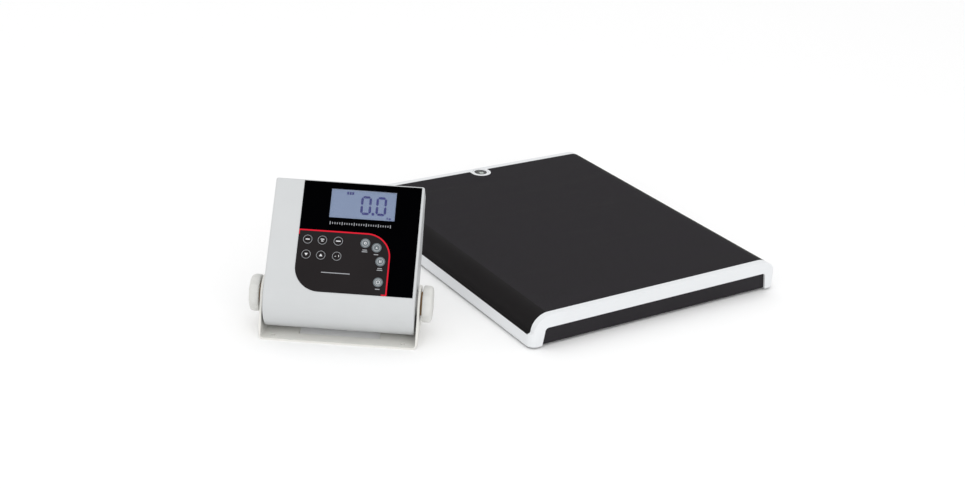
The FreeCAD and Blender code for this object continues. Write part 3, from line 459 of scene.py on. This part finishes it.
def red_outline():
    """The red line along the field's top and right side, with a short hook at each end."""
    left, right, top, bottom = FIELD_LEFT, FIELD_RIGHT, FIELD_TOP, FIELD_BOTTOM
    centre_x, centre_y = right - FIELD_ARC_R, top - FIELD_ARC_R
    outer = arc(centre_x, centre_y, FIELD_ARC_R, 90, 0)
    inner = arc(centre_x, centre_y, FIELD_ARC_R - RED_WIDTH, 0, 90)
    end_x = left + RED_WIDTH * RED_END_SHARE
    return (
        [(left, top - RED_HOOK), (left, top)]
        + outer
        + [(right, bottom), (right - RED_HOOK, bottom), (right - RED_HOOK, bottom + RED_WIDTH)]
        + [(right - RED_WIDTH, bottom + RED_WIDTH)]
        + inner
        + [(end_x, top - RED_WIDTH), (end_x, top - RED_HOOK)]
    )


def caption_bars():
    """A plain bar below each grey key, and a second one below two of them."""
    bars = []
    for name in DISC_KEYS:
        x, y = key_middle(name)
        bars.append(bar(x, y - CAPTION_DROP, CAPTION_WIDTH, BAR_HEIGHT))
        if name in TWO_CAPTION_KEYS:
            bars.append(bar(x, y - SECOND_CAPTION_DROP, SECOND_CAPTION_WIDTH, BAR_HEIGHT))
    return bars


def range_tick(n):
    """One tick of the row below the display."""
    height = TICK_HEIGHT if n % LONG_TICK_EVERY else LONG_TICK_HEIGHT
    return bar(TICK_LEFT + n * TICK_PITCH, TICK_Y, TICK_WIDTH, height)


def printed_face():
    """The grey control field, the red line, ticks, and plain bars where captions are."""
    holes = [circle(*key_middle(name), KEY_HOLE_R) for name in RING_KEYS + DISC_KEYS]
    print_on_face("control_field", [field_outline(FIELD_INSET)] + holes, "field_grey")
    print_on_face("red_line", [red_outline()], "print_red", SECOND_PRINT_TOP)
    print_on_face("caption_bars", caption_bars(), "print_soft", SECOND_PRINT_TOP)
    print_on_face("range_ticks", [range_tick(n) for n in range(TICKS)], "print_soft")
    print_on_face("plain_mark", [bar(*PLAIN_MARK)], "print_soft", SECOND_PRINT_TOP)


# ---- key signs ----
def triangle(x, y, size, turn):
    """An arrow head that points up or down."""
    foot = y - turn * size * ARROW_FOOT_SHARE
    return [(x - size, foot), (x + size, foot), (x, y + turn * size * ARROW_TIP_SHARE)]


def enter_arrow(x, y):
    """The return arrow: a bar with a short riser, and a head."""
    tail, inner, outer = x - 1.0, x + 1.9, x + 2.6
    under, over, top = y - 1.1, y - 0.4, y + 1.6
    shaft = [(tail, under), (outer, under), (outer, top), (inner, top), (inner, over), (tail, over)]
    head = [(x - 2.8, y - 0.75), (tail, y - 2.0), (tail, y + 0.5)]
    return [shaft, head]


def ring_key_sign(name, x, y):
    """The sign of a ring key: an arrow, or plain bars."""
    return {
        "down_key": [triangle(x, y, ARROW_SIZE, -1)],
        "up_key": [triangle(x, y, ARROW_SIZE, 1)],
        "enter_key": enter_arrow(x, y),
        "ring_key_1": [bar(x, y, 4.6, SIGN_BAR)],
        "ring_key_2": [bar(x, y + 1.1, 4.2, SIGN_BAR_OF_TWO), bar(x, y - 1.1, 2.6, SIGN_BAR_OF_TWO)],
        "ring_key_3": [bar(x, y, 5.4, SIGN_BAR)],
    }[name]


def disc_key_sign(name, x, y):
    """The sign of a grey key: a dot ring, an arrow, two strokes, or the power sign."""
    return {
        "disc_key_1": [circle(x, y, 1.5, 24), circle(x, y, 0.9, 24)],
        "disc_key_2": [triangle(x, y, SMALL_ARROW_SIZE, 1)],
        "disc_key_3": [bar(x - 0.8, y, 0.8, 2.8), bar(x + 0.8, y, 0.8, 2.8)],
        "power_key": [arc(x, y, 2.3, 125, 415) + arc(x, y, 1.7, 415, 125), bar(x, y + 1.4, 0.6, 2.2)],
    }[name]


def key_marks(names, insets, sign):
    """A ring on each key, and a small sign in it."""
    for name in names:
        x, y = key_middle(name)
        rings = [circle(x, y, KEY_R - inset) for inset in insets]
        layers = (("ring", rings, "print_ring"), ("mark", sign(name, x, y), "print_white"))
        for kind, outlines, material in layers:
            label = f"{name}_{kind}"
            plate(label, outlines, KEY_TOP, KEY_TOP + PRINT, FACE_FRAME, material, name)


# ---- display, in the face's millimetres ----
WINDOW = (-20.6, 55.4, 92.1, 127.4)
WINDOW_GAP = 0.3
LCD_FRONT = FACE - 2.5
LENS_BACK = LCD_FRONT + 1.6
LENS_FRONT = OVERLAY_TOP - 0.1
LENS_BEVEL = 0.12
INK = 0.12
DIGIT_WIDTH = 12.5
DIGIT_HEIGHT = 23.2
DIGIT_LEFTS = (14.4, 32.2)
DIGIT_BOTTOM = 98.4
SEGMENT = 2.9
SEGMENT_GAP = 0.35
POINT_X = 29.5
POINT_SIZE = 3.2
STATUS_BARS = [(-1.6 + n * 2.9, 123.7, 2.3, 3.4) for n in range(3)]
UNIT_BARS = [(46.6, 95.6, 1.1, 3.0), (49.6, 95.2, 2.6, 2.2)]


def segment(x0, y0, x1, y1):
    """One bar of a digit, pointed at both ends."""
    half = SEGMENT / 2
    if abs(x1 - x0) > abs(y1 - y0):
        a, b = x0 + SEGMENT_GAP, x1 - SEGMENT_GAP
        under = [(a, y0), (a + half, y0 - half), (b - half, y0 - half)]
        return under + [(b, y0), (b - half, y0 + half), (a + half, y0 + half)]
    a, b = y0 + SEGMENT_GAP, y1 - SEGMENT_GAP
    right = [(x0, a), (x0 + half, a + half), (x0 + half, b - half)]
    return right + [(x0, b), (x0 - half, b - half), (x0 - half, a + half)]


def zero(left, bottom):
    """The six lit bars of a zero."""
    half = SEGMENT / 2
    x0, x1 = left + half, left + DIGIT_WIDTH - half
    y0, y2 = bottom + half, bottom + DIGIT_HEIGHT - half
    y1 = (y0 + y2) / 2
    return [
        segment(x0, y0, x1, y0),
        segment(x0, y2, x1, y2),
        segment(x0, y0, x0, y1),
        segment(x0, y1, x0, y2),
        segment(x1, y0, x1, y1),
        segment(x1, y1, x1, y2),
    ]


def display():
    """The lit digits and small signs under a clear lens."""
    digits = [outline for left in DIGIT_LEFTS for outline in zero(left, DIGIT_BOTTOM)]
    digits.append(bar(POINT_X, DIGIT_BOTTOM + POINT_SIZE / 2, POINT_SIZE, POINT_SIZE))
    signs = [bar(*place) for place in STATUS_BARS + UNIT_BARS]
    for name, outlines in (("lcd_digits", digits), ("lcd_signs", signs)):
        plate(name, outlines, LCD_FRONT, LCD_FRONT + INK, FACE_FRAME, "digit_blue", "indicator")
    x0, x1, y0, y1 = WINDOW
    pane = bar((x0 + x1) / 2, (y0 + y1) / 2, x1 - x0 - WINDOW_GAP, y1 - y0 - WINDOW_GAP)
    lens = plate(
        "display_lens", [pane], LENS_BACK, LENS_FRONT, FACE_FRAME, "lens_clear", "indicator",
        bevel=LENS_BEVEL,
    )
    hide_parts("lcd_lens")


# ---- knobs ----
FLUTES = 8
FLUTE_DEPTH = 0.055
FLUTE_START_R = 12.0
FLUTE_FADE = 8.0
KNOB_FACETS = 128
# Foot: radius, and millimetres out from the side next to the bracket. Dome: radius, and share of the knob's
# length. Dish: radius, and millimetres in from the cap's highest point.
KNOB_FOOT = ((14.4, 0.0), (20.4, 0.0), (21.4, 0.5), (21.9, 1.3))
KNOB_DOME = ((21.9, 0.55), (21.6, 0.70), (20.9, 0.82), (19.6, 0.91), (17.6, 0.965), (15.0, 0.99))
KNOB_DISH = ((13.0, 0.02), (12.2, 0.15), (11.4, 0.7), (10.6, 0.95), (6.0, 1.0))


def knob_flute(angle, radius):
    """Shallow finger flutes, deepest at the rim and gone at the middle."""
    reach = min(1.0, max(0.0, (radius - FLUTE_START_R) / FLUTE_FADE))
    wave = 0.5 - 0.5 * math.cos(FLUTES * angle)
    return 1.0 - FLUTE_DEPTH * reach * wave**2


def knobs():
    """Domed hand knobs with soft flutes and a shallow dish in the cap."""
    for node, axis in (("knob_left", -RIGHT), ("knob_right", RIGHT)):
        along = [(v.co - PIVOT).dot(axis) / MM for v in frame["nodes"][node].data.vertices]
        start, end = min(along), max(along)
        profile = [(r, start + out) for r, out in KNOB_FOOT]
        profile += [(r, start + (end - start) * share) for r, share in KNOB_DOME]
        profile += [(r, end - dip) for r, dip in KNOB_DISH]
        matrix = basis(UP_FACE, axis.cross(UP_FACE), axis, PIVOT)
        obj = turned(
            node + "_body", profile, matrix, "knob_white", node, KNOB_FACETS, knob_flute
        )
        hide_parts(node)


# ---- mat, in millimetres from the platform's centre: it follows the cover's rolled sides ----
MAT_TOP = 42.0
MAT_THICKNESS = 2.5
FLAT_STATIONS = (0.0, 55.0, 110.0, 150.0)
SHOULDER_X = 163.0
SHOULDER_RUN = 23.0
SHOULDER_DROP = 21.5
SHOULDER_STEPS = 14
PAINTED_SHADE_BEYOND_X = SHOULDER_X + 3
FLARE_TOP = 22.0
FLARE_R = 3.0
FLARE_UNDER = 19.8
LIP_TOP = 19.0
LIP_UNDER = 17.8
LIP_STATIONS = (0.0, 2.2, 4.0)
RIB_PITCH = 2.4
RIB_DEPTH = 0.22
RIB_GROOVE = ((0.0, 0.0), (0.2, RIB_DEPTH), (0.7, RIB_DEPTH), (0.9, 0.0))
RIBS_AT_SHOULDER = 0.7
RIBS_FADE = 0.25
NOTCH_R = 14.8
NOTCH_REACH = 20
NOTCH_CUT = (MAT_TOP - 12, MAT_TOP + 2)


def mat_section():
    """The mat's right half from middle to edge: (x, z) above, (x, z) below, and how strong the ribs are."""
    rows = [((x, MAT_TOP), (x, MAT_TOP - MAT_THICKNESS), 1.0) for x in FLAT_STATIONS]
    rows.append(((SHOULDER_X, MAT_TOP), (SHOULDER_X, MAT_TOP - MAT_THICKNESS), RIBS_AT_SHOULDER))
    centre_z = MAT_TOP - SHOULDER_DROP
    last = math.asin((FLARE_TOP - centre_z) / SHOULDER_DROP)
    run, drop = SHOULDER_RUN - MAT_THICKNESS, SHOULDER_DROP - MAT_THICKNESS
    for n in range(1, SHOULDER_STEPS + 1):
        a = math.pi / 2 + (last - math.pi / 2) * n / SHOULDER_STEPS
        above = (SHOULDER_X + SHOULDER_RUN * math.cos(a), centre_z + SHOULDER_DROP * math.sin(a))
        below = (SHOULDER_X + run * math.cos(a), centre_z + drop * math.sin(a))
        rows.append((above, below, max(0.0, RIBS_AT_SHOULDER - RIBS_FADE * n)))
    foot_x, side = rows[-1][0][0], rows[-1][1][0]
    unders = [(side, FLARE_UNDER)] + [(side + x, LIP_UNDER) for x in LIP_STATIONS]
    for n, under in enumerate(unders, 1):
        a = math.pi / 2 * n / len(unders)
        above = (foot_x + FLARE_R * (1 - math.cos(a)), FLARE_TOP - FLARE_R * math.sin(a))
        rows.append((above, under, 0.0))
    edge = half_width("platform_mat")
    rows.append(((edge, LIP_TOP), (edge, LIP_UNDER), 0.0))
    return rows


def rib_lines(half):
    """Places along Y with the surface's drop at each: grooves between flat ribs."""
    places = [(-half, 0.0)]
    count = int(2 * half / RIB_PITCH) - 1
    for n in range(count):
        y = -count * RIB_PITCH / 2 + n * RIB_PITCH
        places += [(y + step, drop) for step, drop in RIB_GROOVE]
    return places + [(half, 0.0)]


def closed_sheet(name, rows, lines):
    """A sheet between the rows' upper and lower points, ribbed above, with closed edges."""
    bm = bmesh.new()
    above, below = [], []
    for (ax, az), (bx, bz), weight in rows:
        above.append([bm.verts.new((ax * MM, y * MM, (az - drop * weight) * MM)) for y, drop in lines])
        below.append([bm.verts.new((bx * MM, y * MM, bz * MM)) for y, _ in lines])
    last_row, last_line = len(rows) - 1, len(lines) - 1
    for i in range(last_row):
        smooth = rows[i][2] == 0 or rows[i + 1][2] == 0
        for j in range(last_line):
            face = bm.faces.new((above[i][j], above[i + 1][j], above[i + 1][j + 1], above[i][j + 1]))
            face.smooth = smooth
            bm.faces.new((below[i][j], below[i][j + 1], below[i + 1][j + 1], below[i + 1][j]))
        for j in (0, last_line):
            bm.faces.new((above[i][j], above[i + 1][j], below[i + 1][j], below[i][j]))
    for i in (0, last_row):
        for j in range(last_line):
            bm.faces.new((above[i][j], above[i][j + 1], below[i][j + 1], below[i][j]))
    return mesh_from(bm, name)


def prism(name, outline, bottom, top):
    """A temporary upright block on an outline, used as a cutter."""
    bm = bmesh.new()
    base = bm.faces.new([bm.verts.new((x * MM, y * MM, bottom * MM)) for x, y in outline])
    moved = bmesh.ops.extrude_face_region(bm, geom=[base])["geom"]
    lifted = [item for item in moved if isinstance(item, bmesh.types.BMVert)]
    bmesh.ops.translate(bm, verts=lifted, vec=(0, 0, (top - bottom) * MM))
    return mesh_from(bm, name)


def notched(sheet):
    """The sheet with the level's round-ended notch cut out."""
    level_y = (middle("level_vial") - PLATFORM).y / MM
    outer_y = level_y + NOTCH_REACH
    outline = arc(0, level_y, NOTCH_R, 180, 360, 40) + [(NOTCH_R, outer_y), (-NOTCH_R, outer_y)]
    blank = link(bpy.data.objects.new("mat_blank", sheet))
    cutter = link(bpy.data.objects.new("mat_notch", prism("mat_notch", outline, *NOTCH_CUT)))
    cut = blank.modifiers.new("notch", "BOOLEAN")
    cut.operation = "DIFFERENCE"
    cut.object = cutter
    mesh = evaluated_mesh(blank)
    for obj in (blank, cutter):
        bpy.data.objects.remove(obj)
    return mesh


def mat():
    """The black mat as one closed sheet, finely ribbed on its flat top, with painted shade on its rolled sides:
    they take a darker copy of the mat's rubber.
    """
    half_rows = mat_section()
    mirrored = [((-a[0], a[1]), (-b[0], b[1]), w) for a, b, w in reversed(half_rows[1:])]
    low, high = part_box("platform_mat")
    lines = rib_lines((high.y - low.y) / 2 / MM)
    mesh = notched(closed_sheet("ribbed_mat", mirrored + half_rows, lines))
    mesh.transform(Matrix.Translation(PLATFORM))
    obj = piece("ribbed_mat", mesh, "mat_rubber", "platform")
    # Faces beyond the flat top take the darker copy, which is painted shade on the rolled sides.
    mesh.materials.append(MATERIALS["mat_shoulder_painted_shade"])
    for polygon in mesh.polygons:
        from_middle = abs(polygon.center.x - PLATFORM.x) / MM
        polygon.material_index = 1 if from_middle > PAINTED_SHADE_BEYOND_X else 0
    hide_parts("platform_mat")


# ---- level, in millimetres about its centre ----
TARGET_SHARES = (0.52, 0.44)
TARGET_RISE = 0.1
RIM_INSETS = (0.1, 2.2)
RIM_RISE = 0.5
RIM_BEVEL = 0.12
# (radius, height over the fluid's top)
BUBBLE_PROFILE = ((0.8, -0.5), (2.6, -0.4), (3.3, -0.1), (3.0, 0.15), (1.8, 0.3), (0.6, 0.34))
BUBBLE_OFFSET = Vector((0.0011, -0.0008, 0))
BUBBLE_FACETS = 48


def level():
    """The target ring and the bubble on the level's fluid, and a rim on its vial."""
    centre = middle("level_fluid")
    centre.z = 0.0
    matrix = Matrix.Translation(centre)
    fluid_top = top_of("level_fluid")
    target = [circle(0, 0, half_width("level_fluid") * share) for share in TARGET_SHARES]
    plate(
        "level_target", target, fluid_top, fluid_top + TARGET_RISE, matrix, "level_ring", "platform",
    )
    vial_top = top_of("level_vial")
    rim = [circle(0, 0, half_width("level_vial") - inset) for inset in RIM_INSETS]
    plate(
        "level_rim", rim, vial_top, vial_top + RIM_RISE, matrix, "cover_white", "platform",
        bevel=RIM_BEVEL,
    )
    profile = [(radius, fluid_top + rise) for radius, rise in BUBBLE_PROFILE]
    offset = Matrix.Translation(centre + BUBBLE_OFFSET)
    turned("level_bubble", profile, offset, "bubble_pale", "platform", BUBBLE_FACETS)


# ---- battery door, in millimetres on the back of the housing ----
LOBE_R = 37.05
RIDGE_YS = (23.0, 26.0, 29.0)
RIDGE_WIDTH = 26.0
RIDGE_HEIGHT = 1.3
RIDGE_FOOT = LOBE_R - 0.1
RIDGE_TOP = LOBE_R + 0.7
RIDGE_BEVEL = 0.2


def door_ridges():
    """Three low grip ridges near the upper edge of the battery door."""
    ridges = [bar(0, y, RIDGE_WIDTH, RIDGE_HEIGHT) for y in RIDGE_YS]
    plate(
        "door_ridges", ridges, RIDGE_FOOT, RIDGE_TOP, BACK_FRAME, "housing_white", "battery_door",
        bevel=RIDGE_BEVEL,
    )


# ---- setting, in metres ----
CAMERA_FROM_PLATFORM = Vector((-1.0677, -1.4213, 0.8062))
CAMERA_HEADING = math.radians(56.38)
CAMERA_DOWN = math.radians(24.33)
CAMERA_ROLL = math.radians(3.44)
CAMERA_LENS = 54.29
CAMERA_SENSOR = 36.0
CAMERA_NEAR = 0.01
FLOOR_REACH = 12.0
# (name, place, size, watts)
LIGHTS = (
    ("key_light", (-1.2, -0.6, 2.6), 2.2, 6),
    ("front_light", (-0.7, -2.6, 0.8), 2.0, 14),
)


def camera():
    """The camera at the viewing angle worked out for the whole scale."""
    level_way = Vector((math.cos(CAMERA_HEADING), math.sin(CAMERA_HEADING), 0))
    ahead = level_way * math.cos(CAMERA_DOWN) - Z * math.sin(CAMERA_DOWN)
    across = ahead.cross(Z).normalized()
    over = across.cross(ahead)
    x = across * math.cos(CAMERA_ROLL) + over * math.sin(CAMERA_ROLL)
    y = over * math.cos(CAMERA_ROLL) - across * math.sin(CAMERA_ROLL)
    data = bpy.data.cameras.new("camera")
    data.lens = CAMERA_LENS
    data.sensor_width = CAMERA_SENSOR
    data.clip_start = CAMERA_NEAR
    obj = link(bpy.data.objects.new("camera", data))
    obj.matrix_world = basis(x, y, -ahead, PLATFORM + CAMERA_FROM_PLATFORM)
    bpy.context.scene.camera = obj


def area_light(name, place, size, power):
    """A soft square light aimed at the middle of the scene."""
    data = bpy.data.lights.new(name, "AREA")
    data.size = size
    data.energy = power
    obj = link(bpy.data.objects.new(name, data))
    obj.location = place
    obj.rotation_euler = (-Vector(place)).to_track_quat("-Z", "Y").to_euler()


def setting():
    """A plain pale floor and soft studio light."""
    mesh = bpy.data.meshes.new("floor")
    corners = [(x, y, 0) for x, y in bar(0, 0, 2 * FLOOR_REACH, 2 * FLOOR_REACH)]
    mesh.from_pydata(corners, [], [(0, 1, 2, 3)])
    mesh.materials.append(MATERIALS["floor_pale"])
    floor = link(bpy.data.objects.new("floor", mesh))
    world = bpy.data.worlds.new("studio")
    world.use_nodes = True
    background = world.node_tree.nodes["Background"]
    background.inputs["Color"].default_value = (1, 1, 1, 1)
    background.inputs["Strength"].default_value = 1.0
    bpy.context.scene.world = world
    for light in LIGHTS:
        area_light(*light)
    bpy.context.scene.view_settings.view_transform = "Standard"


dress_nodes()
printed_face()
key_marks(RING_KEYS, RING_KEY_INSETS, ring_key_sign)
key_marks(DISC_KEYS, DISC_KEY_INSETS, disc_key_sign)
display()
knobs()
mat()
level()
door_ridges()
setting()
camera()
